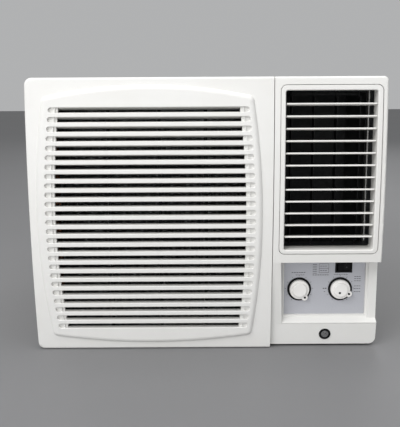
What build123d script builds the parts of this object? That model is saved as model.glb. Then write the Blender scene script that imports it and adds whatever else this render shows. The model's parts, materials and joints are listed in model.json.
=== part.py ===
from build123d import *
import math
import os

# Window air conditioner, in millimetres.
# X runs left to right as the user sees the front, Y runs from the room to the outdoors, Z is up.
# The origin is at the middle of the footprint, on the surface that the cabinet stands on.

# ---- Driving dimensions ----
FRONT_HALF_W = 305.0  # half the width of the front
FRONT_TOP = 482.0
PANEL_BOTTOM = 0.5  # lowest point of the intake grille panel
FRAME_BOTTOM = 3.5  # lowest point of the rest of the front
HALF_DEPTH = 340.0  # half the depth over all
SEAM_X = 114.0  # seam between the grille panel and the fixed front
SEAM_GAP = 0.6  # half the width of that seam
FRONT_DEEP = -400.0  # in front of everything

SLEEVE_HALF_W = 290.0
SLEEVE_H = 462.0
SLEEVE_FRONT = -262.0
SLEEVE_REAR = 330.0
SLEEVE_FLANGE = 16.0
SHEET = 1.2  # painted steel sheet
GUARD_FACE = 338.0
GUARD_SCREWS = [(x, z) for x in (-282.0, 282.0) for z in (8.0, 231.0, 454.0)]
SCREW_R, SCREW_HOLE_R, SCREW_HEAD_R = 2.0, 2.1, 4.0
VENT_COLUMN_Y = (130.0, 205.0)
VENT_ROWS, VENT_FIRST_Z, VENT_PITCH = 11, 90.0, 28.0
VENT_HALF_LENGTH, VENT_HALF_H = 30.0, 3.0
MOUNT_SPACING_X = 400.0
MOUNT_SPACING_Y = 30.0
MOUNT_Y = -230.0
MOUNT_HOLE_R = 2.6

BULGE_R = 1950.0  # the front bulges about an axis along X
BULGE_Z = 285.0  # height of the bulge's crest
PILLOW = 5.0  # how far the louvred field stands out from the bulge
BULGE_AXIS_Y = PILLOW - HALF_DEPTH + BULGE_R

WALL = 2.5  # moulded plastic wall
SKIN = 3.0  # moulded wall behind the bulged faces
PANEL_BACK = -298.0
FRAME_FRONT = -297.2
FRAME_BACK = -263.5
LEFT_TOP_R, LEFT_LOW_R = 12.5, 12.0  # the front's corners, seen from the room
RIGHT_TOP_R, RIGHT_LOW_R = 8.0, 12.0
EDGE_R = 4.0  # round edge of the front's face

# louvred field
GRILLE_X = -98.0  # middle of the louvred field
FIELD_TOP_HALF, FIELD_LOW_HALF, FIELD_MIDDLE_HALF = 178.0, 178.0, 195.0
FIELD_LOW, FIELD_LOW_MIDDLE = 27.0, 12.5  # heights of its lower edge, at the corners and between
FIELD_HIGH, FIELD_HIGH_MIDDLE = 451.0, 470.5
FIELD_CORNER_R = 12.0
SHOULDER_R = 9.0  # round edge of the field
SLOT_X = -96.3  # middle of the slots
SLOT_COUNT = 25
SLOT_PITCH = 15.88
SLOT_FIRST_Z = 47.5
SLOT_H = 8.6
SLOT_HALF = 164.3  # half length of the middle slots
SLOT_TAPER = 11.5  # how much shorter the end slots are at each end
SLOT_LIP_R = 1.0
SLOT_MOUTH = 2.0  # depth of the level mouth of a slot
POCKET_HALF = 180.0  # half length with the blind end pockets
POCKET_TAPER = 12.0
POCKET_DEPTH = 5.0
POCKET_RIB_INSET = 10.0  # the pocket's inner rib, from its outer end
BAR_DEPTH = 13.0  # depth of the bars between the slots, along their top
BAR_REACH = 25.0  # depth of the bars along their sloping underside
BAR_SLOPE = 9.4  # degrees that the underside falls below square to the bulge
BAR_T = 1.8
HINGE_X, HINGE_Y = -300.0, -303.0
HINGE_LUG_Z = (65.0, 417.0)
HINGE_PIN_R, HINGE_BARREL_R = 2.5, 5.0

# discharge opening
OPEN_X0, OPEN_X1 = 133.2, 287.5
OPEN_Z0, OPEN_Z1 = 186.0, 459.0
OPEN_R = 3.5
OPEN_EDGE_R = 2.0
BEZEL_X0, BEZEL_X1 = 125.2, 296.0
BEZEL_Z0, BEZEL_Z1 = 179.0, 468.0
BEZEL_GAP = 0.9  # groove round the bezel
BEZEL_R = 9.5
BEZEL_RIM_R = 1.0
BEZEL_BACK = -300.0
BEZEL_WALL = 3.0
VANE_FRAME_BACK = -266.5

BLADE_COUNT = 12
BLADE_X0, BLADE_X1 = OPEN_X0 + 2.0, OPEN_X1 - 1.2
BLADE_FIRST_Z = 207.4
BLADE_PITCH = 20.73
BLADE_CHORD = 22.0
BLADE_T = 2.8
BLADE_EDGE_R = 0.9
BLADE_SETBACK = 15.0  # pivot behind the bulged face
BLADE_TILT = 8.0  # front edge up, at rest
CRANK = 8.0  # pivot to crank pin on a blade
LINK_X = OPEN_X0 + 3.5
PIN_R = 1.5
PIN_CLEAR = 0.05
PIN_REACH = 2.5  # how far a pin goes into the wall
CRANK_PIN_R = 1.2
CRANK_HOLE_R = 1.65

VANE_COUNT = 4
VANE_PITCH = 39.2
VANE_MIDDLE_X = 207.0
VANE_Y = -281.0
VANE_CHORD = 26.0
VANE_T = 1.5
VANE_Z0, VANE_Z1 = 194.0, 448.0
VANE_CRANK = 9.0

# controls
STEP_Z = 163.3  # underside of the discharge module
STRIP_Y = -301.0  # face beside the controls
RECESS_X0 = 126.5  # where the recess starts at the face of the front
FASCIA_Y = -292.0
FASCIA_X0, FASCIA_X1 = 139.0, 286.0
FASCIA_Z0 = 56.5
FASCIA_T = 3.0
BAND_TOP = 45.6
BAND_SETBACK = 10.0  # band behind the bulged face
GROOVE_X0 = 129.5  # line along the band's top edge
GROOVE_H, GROOVE_DEPTH, GROOVE_DROP = 1.3, 1.6, 0.8
KNOB_Z = 104.0
THERMOSTAT_X, SELECTOR_X = 167.0, 241.0
RING_R = 21.5
KNOB_SKIRT_R = 17.5
KNOB_CAP_R = 13.0
KNOB_SKIRT_REACH, KNOB_CAP_REACH = 8.0, 12.0  # how far they stand out from the fascia
EAR_SPOT_R, EAR_R = 17.3, 5.8  # the pointer ear's middle from the axis, and its radius
STEM_R = 4.0
THERMOSTAT_POINTER, SELECTOR_POINTER = -57.0, -28.0  # degrees from +X, seen from the room
ROCKER_X, ROCKER_Z = 246.7, 143.8
ROCKER_W, ROCKER_H = 30.5, 19.2
ROCKER_PIN_Y = FASCIA_Y + 5.0
ROCKER_REST = 8.0  # degrees
BADGE_X, BADGE_Z, BADGE_R = 213.0, 23.5, 10.5
BADGE_T = 1.5
GLAND_X, GLAND_Y, GLAND_R = 262.0, -277.0, 6.5
CONTROL_BOX_X0, CONTROL_BOX_X1 = 124.0, 282.0
CONTROL_BOX_Y1 = -140.0
CONTROL_BOX_Z0, CONTROL_BOX_Z1 = 30.0, 160.0
SWITCH_Y0, SWITCH_Y1 = -286.0, -262.0
CAPACITOR_X, CAPACITOR_R = 168.0, 22.0

# filter, and the air opening behind the grille
AIR_X0, AIR_X1 = -287.0, 97.0
AIR_Z0, AIR_Z1 = 24.0, 456.0
FILTER_X0, FILTER_X1 = -281.0, 91.0
FILTER_Z0, FILTER_Z1 = 16.0, 478.0
FILTER_Y0, FILTER_Y1 = -293.0, -287.0
FILTER_MEMBER = 10.0
FILTER_RIB_X = (-170.7, -82.0, -1.7)
FILTER_RIB_Z = (170.0, 324.0)
FILTER_RIB_T = 2.5
RAIL_GAP = 0.5  # between the filter and its guides
RAIL_W = 4.0
RAIL_Z0 = 13.0

# chassis
PAN_HALF_W = 284.0
PAN_FRONT, PAN_REAR = -258.5, 326.0
PAN_Z = 1.6
PAN_T = 1.5
PAN_TOP = PAN_Z + PAN_T
PAN_LIP = 28.0
COMPRESSOR_X, COMPRESSOR_Y = 190.0, 20.0
COMPRESSOR_R = 65.0
COMPRESSOR_Z0, COMPRESSOR_Z1 = 30.0, 300.0
FOOT_R = 85.0
FOOT_Z0, FOOT_Z1 = 24.0, 28.0
FOOT_ANGLES = (90.0, 210.0, 330.0)
ACCUMULATOR_X, ACCUMULATOR_Y, ACCUMULATOR_R = 106.0, 62.0, 24.0
ACCUMULATOR_Z0, ACCUMULATOR_Z1 = 120.0, 270.0
STUB_Z = 92.0  # the pipe between accumulator and shell

COIL_Z0, COIL_Z1 = 34.0, 446.0
TUBE_R = 4.5
TUBE_PITCH = 25.0
TUBE_FIRST_Z = 52.0
TUBE_PAIRS = 8
CONDENSER_Y0, CONDENSER_Y1 = 264.0, 314.0
CONDENSER_X0, CONDENSER_X1 = -262.0, 262.0
CONDENSER_ROWS = (277.0, 301.0)
EVAPORATOR_Y0, EVAPORATOR_Y1 = -256.5, -214.0
EVAPORATOR_X0, EVAPORATOR_X1 = -262.0, 82.0
EVAPORATOR_ROWS = (-246.0, -225.0)
END_PLATE_T = 2.0
SUCTION_X, SUCTION_Y, SUCTION_Z = 106.0, -40.0, TUBE_FIRST_Z
DISCHARGE_X, DISCHARGE_Z = 276.0, 438.0
CONDENSER_END_Y = 289.0  # where both condenser pipes meet it
CAPILLARY_X0, CAPILLARY_X1 = 112.0, 275.0
CAPILLARY_Y, CAPILLARY_Z = -115.0, 42.0

# air moving
FAN_X, FAN_Z = -60.0, 215.0  # the one shaft of both fans
SHAFT_R = 6.0
SHAFT_Y0, SHAFT_Y1 = -203.0, 196.0
MOTOR_Y0, MOTOR_Y1 = -66.0, 54.0
MOTOR_R, MOTOR_BELL_R, MOTOR_NOSE_R = 68.0, 54.0, 16.0
BRACKET_Y0, BRACKET_Y1 = -34.0, 22.0
BRACKET_T = 3.0
PARTITION_Y = -88.0
PARTITION_X0, PARTITION_X1 = -280.0, 268.0
PARTITION_TOP = 452.0
WHEEL_R = 115.0
WHEEL_Y0, WHEEL_Y1 = -200.0, -112.0
WHEEL_BLADES = 36
PROPELLER_R = 189.0
PROPELLER_Y0, PROPELLER_Y1 = 140.0, 190.0
PROPELLER_BLADES = 5
SCROLL_Y0, SCROLL_Y1 = -208.0, -92.0
SCROLL_R = 134.0
SCROLL_T = 6.0
SCROLL_SIDE = 3.0
SCROLL_INLET_R = 100.0
SCROLL_OUTLET_Z = 230.0
DUCT_X0 = 118.0
DUCT_Z0, DUCT_Z1 = 178.0, 456.0
DUCT_T = 2.0
SHROUD_HALF_W = 268.0
SHROUD_Z0, SHROUD_Z1 = 6.0, 450.0
SHROUD_PLATE_Y = 168.0
SHROUD_T = 2.0

os.makedirs("parts", exist_ok=True)


# ---- Helpers ----
def box(x0, x1, y0, y1, z0, z1):
    """A block between two corners."""
    middle = Pos((x0 + x1) / 2, (y0 + y1) / 2, (z0 + z1) / 2)
    return middle * Box(x1 - x0, y1 - y0, z1 - z0)


def rod_x(r, x0, x1, y, z):
    return Pos((x0 + x1) / 2, y, z) * Rot(0, 90, 0) * Cylinder(r, x1 - x0)


def rod_y(r, y0, y1, x, z):
    return Pos(x, (y0 + y1) / 2, z) * Rot(90, 0, 0) * Cylinder(r, y1 - y0)


def rod_z(r, z0, z1, x, y):
    return Pos(x, y, (z0 + z1) / 2) * Cylinder(r, z1 - z0)


def prism_x(points, x0, x1):
    """A straight-sided outline of (y, z) points, drawn out along X."""
    face = Plane.YZ * Polygon(*points, align=None)
    return Pos(x0, 0, 0) * extrude(face, amount=x1 - x0, dir=(1, 0, 0))


def prism_y(face, y0, y1):
    """A sketch of (x, z) drawn out along Y."""
    return Pos(0, y0, 0) * extrude(Plane.XZ * face, amount=y1 - y0, dir=(0, 1, 0))


def prism_z(points, z0, z1):
    """A straight-sided outline of (x, y) points, drawn out along Z."""
    face = Polygon(*points, align=None)
    return Pos(0, 0, z0) * extrude(face, amount=z1 - z0, dir=(0, 0, 1))


def corner_block(x0, x1, y0, y1, z0, z1, corners):
    """A block whose edges along Y are rounded: corners maps (x, z) to a radius."""
    block = box(x0, x1, y0, y1, z0, z1)
    for (x, z), r in corners.items():
        spot = Vector(x, (y0 + y1) / 2, z)
        edge = min(block.edges().filter_by(Axis.Y), key=lambda e: (e.center() - spot).length)
        block = fillet(edge, r)
    return block


def bulge(offset=0.0):
    """Everything behind the bulged front, moved outward by offset."""
    turn = Pos(0, BULGE_AXIS_Y, BULGE_Z) * Rot(0, 90, 0)
    return turn * Cylinder(BULGE_R + offset, 4 * FRONT_HALF_W)


def face_y(z, offset=0.0):
    """Where the bulged front is at height z."""
    r = BULGE_R + offset
    return BULGE_AXIS_Y - math.sqrt(r * r - (z - BULGE_Z) ** 2)


def joined(solids):
    """One solid from several that meet."""
    solids = list(solids)
    return solids[0].fuse(*solids[1:])


def pipe(points, r, bends):
    """A round tube's outer shape along straight runs joined by arcs."""
    path = FilletPolyline(*points, radius=bends)
    start = Plane(origin=path @ 0, z_dir=path % 0)
    return sweep(start * Circle(r), path=path)


def save(name, shape):
    if isinstance(shape, list):
        shape = Compound(shape)
    export_step(shape, f"parts/{name}.step")


# ---- Cabinet ----
def cabinet_sleeve():
    outer = box(-SLEEVE_HALF_W, SLEEVE_HALF_W, SLEEVE_FRONT, SLEEVE_REAR, 0, SLEEVE_H)
    inner_w = SLEEVE_HALF_W - SHEET
    inner = box(-inner_w, inner_w, SLEEVE_FRONT, SLEEVE_REAR - SHEET, SHEET, SLEEVE_H - SHEET)
    hole_w = SLEEVE_HALF_W - SLEEVE_FLANGE
    hole_z = (SLEEVE_FLANGE, SLEEVE_H - SLEEVE_FLANGE)
    cuts = [inner, box(-hole_w, hole_w, 0, SLEEVE_REAR + 1, *hole_z)]
    length, height = VENT_HALF_LENGTH, VENT_HALF_H
    for x in (-SLEEVE_HALF_W, SLEEVE_HALF_W):
        for y in VENT_COLUMN_Y:
            for row in range(VENT_ROWS):
                z = VENT_FIRST_Z + VENT_PITCH * row
                cuts.append(box(x - 3, x + 3, y - length, y + length, z - height, z + height))
    for x in (-MOUNT_SPACING_X / 2, MOUNT_SPACING_X / 2):
        for y in (MOUNT_Y - MOUNT_SPACING_Y / 2, MOUNT_Y + MOUNT_SPACING_Y / 2):
            cuts.append(rod_z(MOUNT_HOLE_R, SLEEVE_H - 4, SLEEVE_H + 4, x, y))
    for x, z in GUARD_SCREWS:
        cuts.append(rod_y(SCREW_HOLE_R, SLEEVE_REAR - 4, SLEEVE_REAR + 4, x, z))
    return outer.cut(*cuts)


def rear_guard():
    outer = box(-SLEEVE_HALF_W, SLEEVE_HALF_W, SLEEVE_REAR, GUARD_FACE, 0, SLEEVE_H)
    inner_w = SLEEVE_HALF_W - SHEET
    plate = outer - box(-inner_w, inner_w, SLEEVE_REAR, GUARD_FACE - SHEET, SHEET, SLEEVE_H - SHEET)
    slots = []
    for spot in GridLocations(106, 18, 5, 23):
        outline = Pos(0, SLEEVE_H / 2) * spot * SlotOverall(96, 11)
        slots.append(prism_y(outline, SLEEVE_REAR, GUARD_FACE + 5))
    plate = plate.cut(*slots)
    for x, z in GUARD_SCREWS:
        plate -= rod_y(SCREW_HOLE_R, GUARD_FACE - 4, GUARD_FACE + 4, x, z)
    return plate


def rear_guard_screws():
    screws = []
    for x, z in GUARD_SCREWS:
        head = rod_y(SCREW_HEAD_R, GUARD_FACE, HALF_DEPTH, x, z)
        screws.append(head + rod_y(SCREW_R, SLEEVE_REAR - 3.5, GUARD_FACE, x, z))
    return screws


# ---- Chassis ----


def base_pan():
    outer = box(-PAN_HALF_W, PAN_HALF_W, PAN_FRONT, PAN_REAR, PAN_Z, PAN_LIP)
    inner_w = PAN_HALF_W - PAN_T
    inner = box(-inner_w, inner_w, PAN_FRONT + PAN_T, PAN_REAR - PAN_T, PAN_TOP, PAN_LIP)
    return outer - inner


def foot_spots():
    for angle in FOOT_ANGLES:
        a = math.radians(angle)
        yield COMPRESSOR_X + FOOT_R * math.cos(a), COMPRESSOR_Y + FOOT_R * math.sin(a)


def compressor():
    """The welded shell on its foot plate, with the suction accumulator strapped to its side."""
    shell = rod_z(COMPRESSOR_R, COMPRESSOR_Z0, COMPRESSOR_Z1, COMPRESSOR_X, COMPRESSOR_Y)
    shell = fillet(shell.edges(), 28.0)
    weld = rod_z(COMPRESSOR_R + 2, 238, 242, COMPRESSOR_X, COMPRESSOR_Y)
    plate = rod_z(58.0, FOOT_Z0, FOOT_Z1, COMPRESSOR_X, COMPRESSOR_Y)
    neck = rod_z(36.0, FOOT_Z1, COMPRESSOR_Z0 + 10, COMPRESSOR_X, COMPRESSOR_Y)
    body = joined([shell, weld, plate, neck])
    for x, y in foot_spots():
        angle = math.degrees(math.atan2(y - COMPRESSOR_Y, x - COMPRESSOR_X))
        arm = Rot(0, 0, angle) * box(20, FOOT_R, -13, 13, 0, FOOT_Z1 - FOOT_Z0)
        body += Pos(COMPRESSOR_X, COMPRESSOR_Y, FOOT_Z0) * arm
        body += rod_z(13.0, FOOT_Z0, FOOT_Z1, x, y)
    for x, y in foot_spots():
        body -= rod_z(4.2, 0, 40, x, y)
    tank = rod_z(ACCUMULATOR_R, ACCUMULATOR_Z0, ACCUMULATOR_Z1, ACCUMULATOR_X, ACCUMULATOR_Y)
    tank = fillet(tank.edges(), 12.0)
    dx, dy = COMPRESSOR_X - ACCUMULATOR_X, COMPRESSOR_Y - ACCUMULATOR_Y
    span = math.hypot(dx, dy)
    bridge = Rot(0, 0, math.degrees(math.atan2(dy, dx))) * box(0, span, -6, 6, 0, 24)
    body += Pos(ACCUMULATOR_X, ACCUMULATOR_Y, 190) * bridge
    body += tank
    route = [
        (ACCUMULATOR_X, ACCUMULATOR_Y, ACCUMULATOR_Z0 + 10),
        (ACCUMULATOR_X, ACCUMULATOR_Y, STUB_Z),
        (ACCUMULATOR_X + dx / 2, ACCUMULATOR_Y + dy / 2, STUB_Z),
    ]
    return body + pipe(route, 5.0, 12.0)


def compressor_grommets():
    """Rubber feet on the pan, each with the stud that holds it."""
    feet = []
    for x, y in foot_spots():
        foot = rod_z(12.0, PAN_TOP, FOOT_Z0, x, y)
        groove = rod_z(14.0, 11, 15, x, y) - rod_z(9.5, 11, 15, x, y)
        cap = rod_z(8.0, FOOT_Z1, FOOT_Z1 + 6, x, y)
        stem = rod_z(4.0, FOOT_Z0, FOOT_Z1, x, y)
        feet.append(joined([foot - groove, stem, cap]))
    return feet


def coil_fins(x0, x1, y0, y1):
    return box(x0, x1, y0, y1, COIL_Z0, COIL_Z1 - 4)


def return_bends(x0, x1, rows):
    """The U-bends that join the coil's straight tubes outside its end plates."""
    bends = []
    half = Rot(90, 0, 0) * Torus(TUBE_PITCH / 2, TUBE_R)
    right_half = half & box(0, 40, -20, 20, -40, 40)
    left_half = half & box(-40, 0, -20, 20, -40, 40)
    for y in rows:
        for pair in range(TUBE_PAIRS):
            z = TUBE_FIRST_Z + TUBE_PITCH * (2 * pair + 0.5)
            bends.append(Pos(x0 - END_PLATE_T, y, z) * left_half)
            if pair < TUBE_PAIRS - 1:
                bends.append(Pos(x1 + END_PLATE_T, y, z + TUBE_PITCH) * right_half)
    return bends


def coil_end_plates():
    plates = []
    coils = (
        (CONDENSER_X0, CONDENSER_X1, CONDENSER_Y0, CONDENSER_Y1),
        (EVAPORATOR_X0, EVAPORATOR_X1, EVAPORATOR_Y0, EVAPORATOR_Y1),
    )
    for x0, x1, y0, y1 in coils:
        plates.append(box(x0 - END_PLATE_T, x0, y0, y1, PAN_TOP, COIL_Z1))
        plates.append(box(x1, x1 + END_PLATE_T, y0, y1, PAN_TOP, COIL_Z1))
    return plates


def partition():
    y1 = PARTITION_Y + PAN_T
    plate = box(PARTITION_X0, PARTITION_X1, PARTITION_Y, y1, PAN_TOP, PARTITION_TOP)
    plate -= rod_y(24.0, PARTITION_Y - 5, PARTITION_Y + 5, FAN_X, FAN_Z)
    return plate - rod_y(11.0, PARTITION_Y - 5, PARTITION_Y + 5, SUCTION_X, SUCTION_Z)


def fan_motor():
    body = rod_y(MOTOR_R, MOTOR_Y0 + 14, MOTOR_Y1 - 14, FAN_X, FAN_Z)
    bells = rod_y(MOTOR_BELL_R, MOTOR_Y0, MOTOR_Y1, FAN_X, FAN_Z)
    bells = fillet(bells.edges(), 8.0)
    nose = rod_y(MOTOR_NOSE_R, MOTOR_Y0 - 6, MOTOR_Y1 + 6, FAN_X, FAN_Z)
    motor = joined([body, bells, nose])
    return motor - rod_y(SHAFT_R + PIN_CLEAR, -150, 150, FAN_X, FAN_Z)


def motor_bracket():
    x0, x1 = FAN_X - MOTOR_R, FAN_X + MOTOR_R
    y0, y1 = BRACKET_Y0, BRACKET_Y1
    base = box(x0 - 18, x1 + 18, y0, y1, PAN_TOP, PAN_TOP + 2)
    left = box(x0 - BRACKET_T, x0, y0, y1, PAN_TOP, FAN_Z + 20)
    right = box(x1, x1 + BRACKET_T, y0, y1, PAN_TOP, FAN_Z + 20)
    tie = box(x0, x1, y0, y0 + BRACKET_T, PAN_TOP, FAN_Z - MOTOR_R - 6)
    return joined([base, left, right, tie])


def scroll_housing():
    """The blower's volute: a round chamber with a tangent outlet to the right."""
    top = FAN_Z + SCROLL_R
    outer = rod_y(SCROLL_R, SCROLL_Y0, SCROLL_Y1, FAN_X, FAN_Z)
    outer += box(FAN_X, DUCT_X0, SCROLL_Y0, SCROLL_Y1, SCROLL_OUTLET_Z - SCROLL_T, top)
    y0, y1 = SCROLL_Y0 + SCROLL_SIDE, SCROLL_Y1 - SCROLL_SIDE
    inner = rod_y(SCROLL_R - SCROLL_T, y0, y1, FAN_X, FAN_Z)
    inner += box(FAN_X, DUCT_X0 + 5, y0, y1, SCROLL_OUTLET_Z, top - SCROLL_T)
    inlet = rod_y(SCROLL_INLET_R, SCROLL_Y0 - 5, SCROLL_Y0 + 5, FAN_X, FAN_Z)
    shaft_hole = rod_y(22.0, SCROLL_Y1 - 5, SCROLL_Y1 + 5, FAN_X, FAN_Z)
    return outer - inner - inlet - shaft_hole


def air_duct():
    """Carries air from the volute's outlet round to the discharge opening."""
    outer = box(DUCT_X0, PAN_HALF_W, SLEEVE_FRONT, SCROLL_Y1, DUCT_Z0, DUCT_Z1)
    inner = box(
        DUCT_X0 + DUCT_T,
        PAN_HALF_W - DUCT_T,
        SLEEVE_FRONT - 5,
        SCROLL_Y1 - DUCT_T,
        DUCT_Z0 + DUCT_T,
        DUCT_Z1 - DUCT_T,
    )
    outlet = box(
        DUCT_X0 - 5,
        DUCT_X0 + 5,
        SCROLL_Y0 + SCROLL_SIDE,
        SCROLL_Y1 - SCROLL_SIDE,
        SCROLL_OUTLET_Z,
        FAN_Z + SCROLL_R - SCROLL_T,
    )
    return outer - inner - outlet


def fan_shroud():
    y1 = CONDENSER_Y0 - 2
    outer = box(-SHROUD_HALF_W, SHROUD_HALF_W, SHROUD_PLATE_Y, y1, SHROUD_Z0, SHROUD_Z1)
    t = SHROUD_T
    inner_w = SHROUD_HALF_W - t
    inner = box(-inner_w, inner_w, SHROUD_PLATE_Y + t, y1 + 1, SHROUD_Z0 + t, SHROUD_Z1 - t)
    ring = rod_y(PROPELLER_R + 8, 148, 192, FAN_X, FAN_Z)
    return (outer - inner) + ring - rod_y(PROPELLER_R + 5, 140, 200, FAN_X, FAN_Z)


def suction_pipe():
    """From the evaporator's outlet, through the partition, to the accumulator's top."""
    route = [
        (EVAPORATOR_X1 + END_PLATE_T, EVAPORATOR_ROWS[1], SUCTION_Z),
        (SUCTION_X, EVAPORATOR_ROWS[1], SUCTION_Z),
        (SUCTION_X, SUCTION_Y, SUCTION_Z),
        (SUCTION_X, SUCTION_Y, ACCUMULATOR_Z1 + 30),
        (SUCTION_X, ACCUMULATOR_Y, ACCUMULATOR_Z1 + 30),
        (SUCTION_X, ACCUMULATOR_Y, ACCUMULATOR_Z1),
    ]
    return pipe(route, 6.0, 14.0)


def discharge_pipe():
    """From the compressor's top to the condenser's inlet."""
    z = DISCHARGE_Z
    route = [
        (COMPRESSOR_X, COMPRESSOR_Y, COMPRESSOR_Z1),
        (COMPRESSOR_X, COMPRESSOR_Y, z),
        (DISCHARGE_X, COMPRESSOR_Y, z),
        (DISCHARGE_X, CONDENSER_END_Y, z),
        (CONDENSER_X1 + END_PLATE_T, CONDENSER_END_Y, z),
    ]
    return pipe(route, 4.0, 10.0)


def capillary_tube():
    """From the condenser's outlet through the filter drier to the evaporator's inlet."""
    z = CAPILLARY_Z
    route = [
        (CONDENSER_X1 + END_PLATE_T, CONDENSER_END_Y, z),
        (CAPILLARY_X1, CONDENSER_END_Y, z),
        (CAPILLARY_X1, CAPILLARY_Y, z),
        (CAPILLARY_X0, CAPILLARY_Y, z),
        (CAPILLARY_X0, EVAPORATOR_ROWS[0], z),
        (EVAPORATOR_X1 + END_PLATE_T, EVAPORATOR_ROWS[0], z),
    ]
    line = pipe(route, 2.0, 9.0)
    drier = rod_x(9.0, 180, 230, CAPILLARY_Y, z)
    return line + fillet(drier.edges(), 5.0)


# ---- Controls behind the front ----


def control_box():
    x0, x1 = CONTROL_BOX_X0, CONTROL_BOX_X1
    y1 = CONTROL_BOX_Y1
    z0, z1 = CONTROL_BOX_Z0, CONTROL_BOX_Z1
    outer = box(x0, x1, SLEEVE_FRONT, y1, z0, z1)
    inner = box(x0 + SHEET, x1 - SHEET, SLEEVE_FRONT - 1, y1 - SHEET, z0 + SHEET, z1 - SHEET)
    legs = box(x0, x0 + 20, -240, -160, PAN_TOP, z0) + box(x1 - 20, x1, -240, -160, PAN_TOP, z0)
    return joined([outer - inner, legs])


def capacitor():
    """A can lying on the control box's floor, with two flat tabs."""
    z = CONTROL_BOX_Z0 + SHEET + CAPACITOR_R
    can = rod_y(CAPACITOR_R, -235, -160, CAPACITOR_X, z)
    can = fillet(can.edges(), 3.0)
    tabs = []
    for x in (CAPACITOR_X - 10, CAPACITOR_X + 10):
        tabs.append(box(x - 3, x + 3, -244, -234, z - 0.4, z + 0.4))
    return joined([can, *tabs])


def thermostat_body():
    x, z = THERMOSTAT_X, KNOB_Z
    case = box(x - 18, x + 18, SWITCH_Y0, SWITCH_Y1, z - 18, z + 18)
    case = fillet(case.edges().filter_by(Axis.Y), 3.0)
    return case


def selector_switch():
    x, z = SELECTOR_X, KNOB_Z
    case = rod_y(20.0, SWITCH_Y0, SWITCH_Y1, x, z)
    terminals = []
    for spot in (x - 12, x, x + 12):
        terminals.append(box(spot - 3, spot + 3, SWITCH_Y1, SWITCH_Y1 + 8, z - 0.4, z + 0.4))
    return joined([case, *terminals])


def control_fascia():
    gap = 0.2
    plate = box(
        FASCIA_X0 + gap,
        FASCIA_X1 - gap,
        FASCIA_Y,
        FASCIA_Y + FASCIA_T,
        FASCIA_Z0 + gap,
        STEP_Z - WALL - gap,
    )
    for x in (THERMOSTAT_X, SELECTOR_X):
        plate -= rod_y(STEM_R + PIN_CLEAR, FASCIA_Y - 5, FASCIA_Y + 5, x, KNOB_Z)
    w, h = ROCKER_W / 2 - 1, ROCKER_H / 2 - 1
    return plate - box(
        ROCKER_X - w, ROCKER_X + w, FASCIA_Y - 5, FASCIA_Y + 5, ROCKER_Z - h, ROCKER_Z + h
    )


def dial_rings():
    """The raised black ring round each knob."""
    rings = []
    for x in (THERMOSTAT_X, SELECTOR_X):
        ring = rod_y(RING_R, FASCIA_Y - 2, FASCIA_Y, x, KNOB_Z)
        rings.append(ring - rod_y(KNOB_SKIRT_R + 0.5, FASCIA_Y - 3, FASCIA_Y + 1, x, KNOB_Z))
    return rings


def knob(x, pointer):
    """Skirt, round cap and pointer ear in one moulding, with the spindle it turns on."""
    skirt = rod_y(KNOB_SKIRT_R, FASCIA_Y - KNOB_SKIRT_REACH, FASCIA_Y - 0.6, 0, 0)
    rim = skirt.edges().sort_by(Axis.Y)[0]
    skirt = fillet(rim, 1.5)
    cap = rod_y(KNOB_CAP_R, FASCIA_Y - KNOB_CAP_REACH, FASCIA_Y - KNOB_SKIRT_REACH + 1, 0, 0)
    cap = fillet(cap.edges().sort_by(Axis.Y)[0], 2.0)
    ear = rod_y(EAR_R, FASCIA_Y - KNOB_SKIRT_REACH, FASCIA_Y - 2.8, EAR_SPOT_R, 0)
    ear = fillet(ear.edges().sort_by(Axis.Y)[0], 1.4)
    stem = rod_y(STEM_R, FASCIA_Y - 5, SWITCH_Y0 - 0.5, 0, 0)
    whole = joined([skirt, cap, ear, stem])
    return Pos(x, 0, KNOB_Z) * Rot(0, -pointer, 0) * whole


def rocker_frame():
    x, z = ROCKER_X, ROCKER_Z
    w, h = ROCKER_W / 2, ROCKER_H / 2
    flange = box(x - w, x + w, FASCIA_Y - 1.2, FASCIA_Y, z - h, z + h)
    body = box(x - w + 1, x + w - 1, FASCIA_Y, FASCIA_Y + 12, z - h + 1, z + h - 1)
    hole = box(x - w + 3, x + w - 3, FASCIA_Y - 2, FASCIA_Y + 10, z - h + 3, z + h - 3)
    pin = rod_z(1.0 + PIN_CLEAR, z - h + 1.5, z + h - 1.5, x, ROCKER_PIN_Y)
    return joined([flange, body]) - hole - pin


def rocker_paddle():
    """A shallow V that rocks about an upright pin."""
    half_l, half_h = 11.0, ROCKER_H / 2 - 3.6
    outline = [(-half_l, -6.2), (0, -4.2), (half_l, -6.2), (half_l, 1.0), (0, 3.2), (-half_l, 1.0)]
    paddle = prism_z(outline, -half_h, half_h)
    paddle += rod_z(1.0, -ROCKER_H / 2 + 1.8, ROCKER_H / 2 - 1.8, 0, 0)
    return Pos(ROCKER_X, ROCKER_PIN_Y, ROCKER_Z) * Rot(0, 0, ROCKER_REST) * paddle


# ---- The fixed front ----
def front_outline(x0, z0, left_corners, y0=FRONT_DEEP, y1=FRAME_BACK, inset=0.0):
    """The front's outline from x0 to the right side, as a block along Y."""
    x1, z1 = FRONT_HALF_W - inset, FRONT_TOP - inset
    x0, z0 = x0 + inset, z0 + inset
    corners = {(x1, z1): RIGHT_TOP_R - inset, (x1, z0): RIGHT_LOW_R - inset}
    if left_corners:
        corners[(x0, z1)] = LEFT_TOP_R - inset
        corners[(x0, z0)] = LEFT_LOW_R - inset
    return corner_block(x0, x1, y0, y1, z0, z1, corners)


def discharge_block():
    """The part of the front that bulges round the discharge opening."""
    block = front_outline(SEAM_X + SEAM_GAP, FRAME_BOTTOM, False)
    block &= box(0, 400, FRONT_DEEP, 0, STEP_Z, 500)
    block &= bulge()
    front = block.faces().sort_by(Axis.Y)[0]
    rim = [e for e in front.edges() if e.center().Z > STEP_Z + 1 and e.center().X > SEAM_X + 2]
    return fillet(rim, EDGE_R)


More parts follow.
